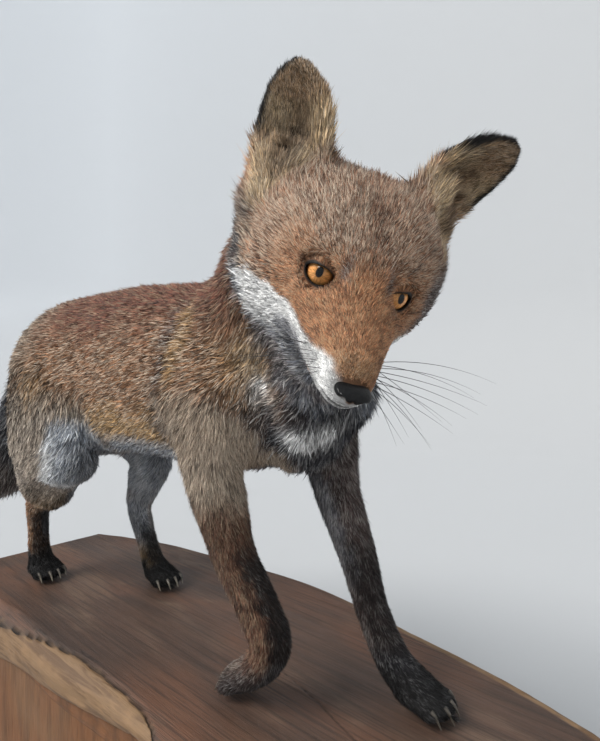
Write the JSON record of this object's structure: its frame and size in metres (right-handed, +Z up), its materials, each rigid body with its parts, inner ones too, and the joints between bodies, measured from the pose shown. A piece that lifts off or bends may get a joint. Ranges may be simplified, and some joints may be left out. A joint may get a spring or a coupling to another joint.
{
  "type": "taxidermy red fox on wooden base",
  "caption": "Life-size mounted red fox, walking with its head bent and turned aside, on a thick live-edge wooden slab and plinth.",
  "frame": {"origin": "centre of the base's flat underside", "axes": "+X the way the fox's body faces, along the slab and the longest way of the whole; +Y to the fox's left; +Z up"},
  "size_m": [1.1409, 0.3079, 0.6297],
  "materials": {
    "coat": "short russet and grey fur",
    "dark_coat": "thick dark grey fur",
    "eye": "polished amber glass",
    "nose": "black, pebbled",
    "slab": "worn, planed, live edge",
    "plinth": "light brown, bare"
  },
  "bodies": {
    "root": {"head": "coat", "ear_right": "coat", "ear_left": "coat", "eye_right": "eye", "eye_left": "eye", "nose": "nose", "neck": "coat", "trunk": "coat", "tail": "dark_coat", "leg_front_right": "coat", "leg_front_left": "coat", "leg_hind_right": "coat", "leg_hind_left": "coat", "base_slab": "slab", "base_plinth": "plinth"}
  },
  "joints": []
}
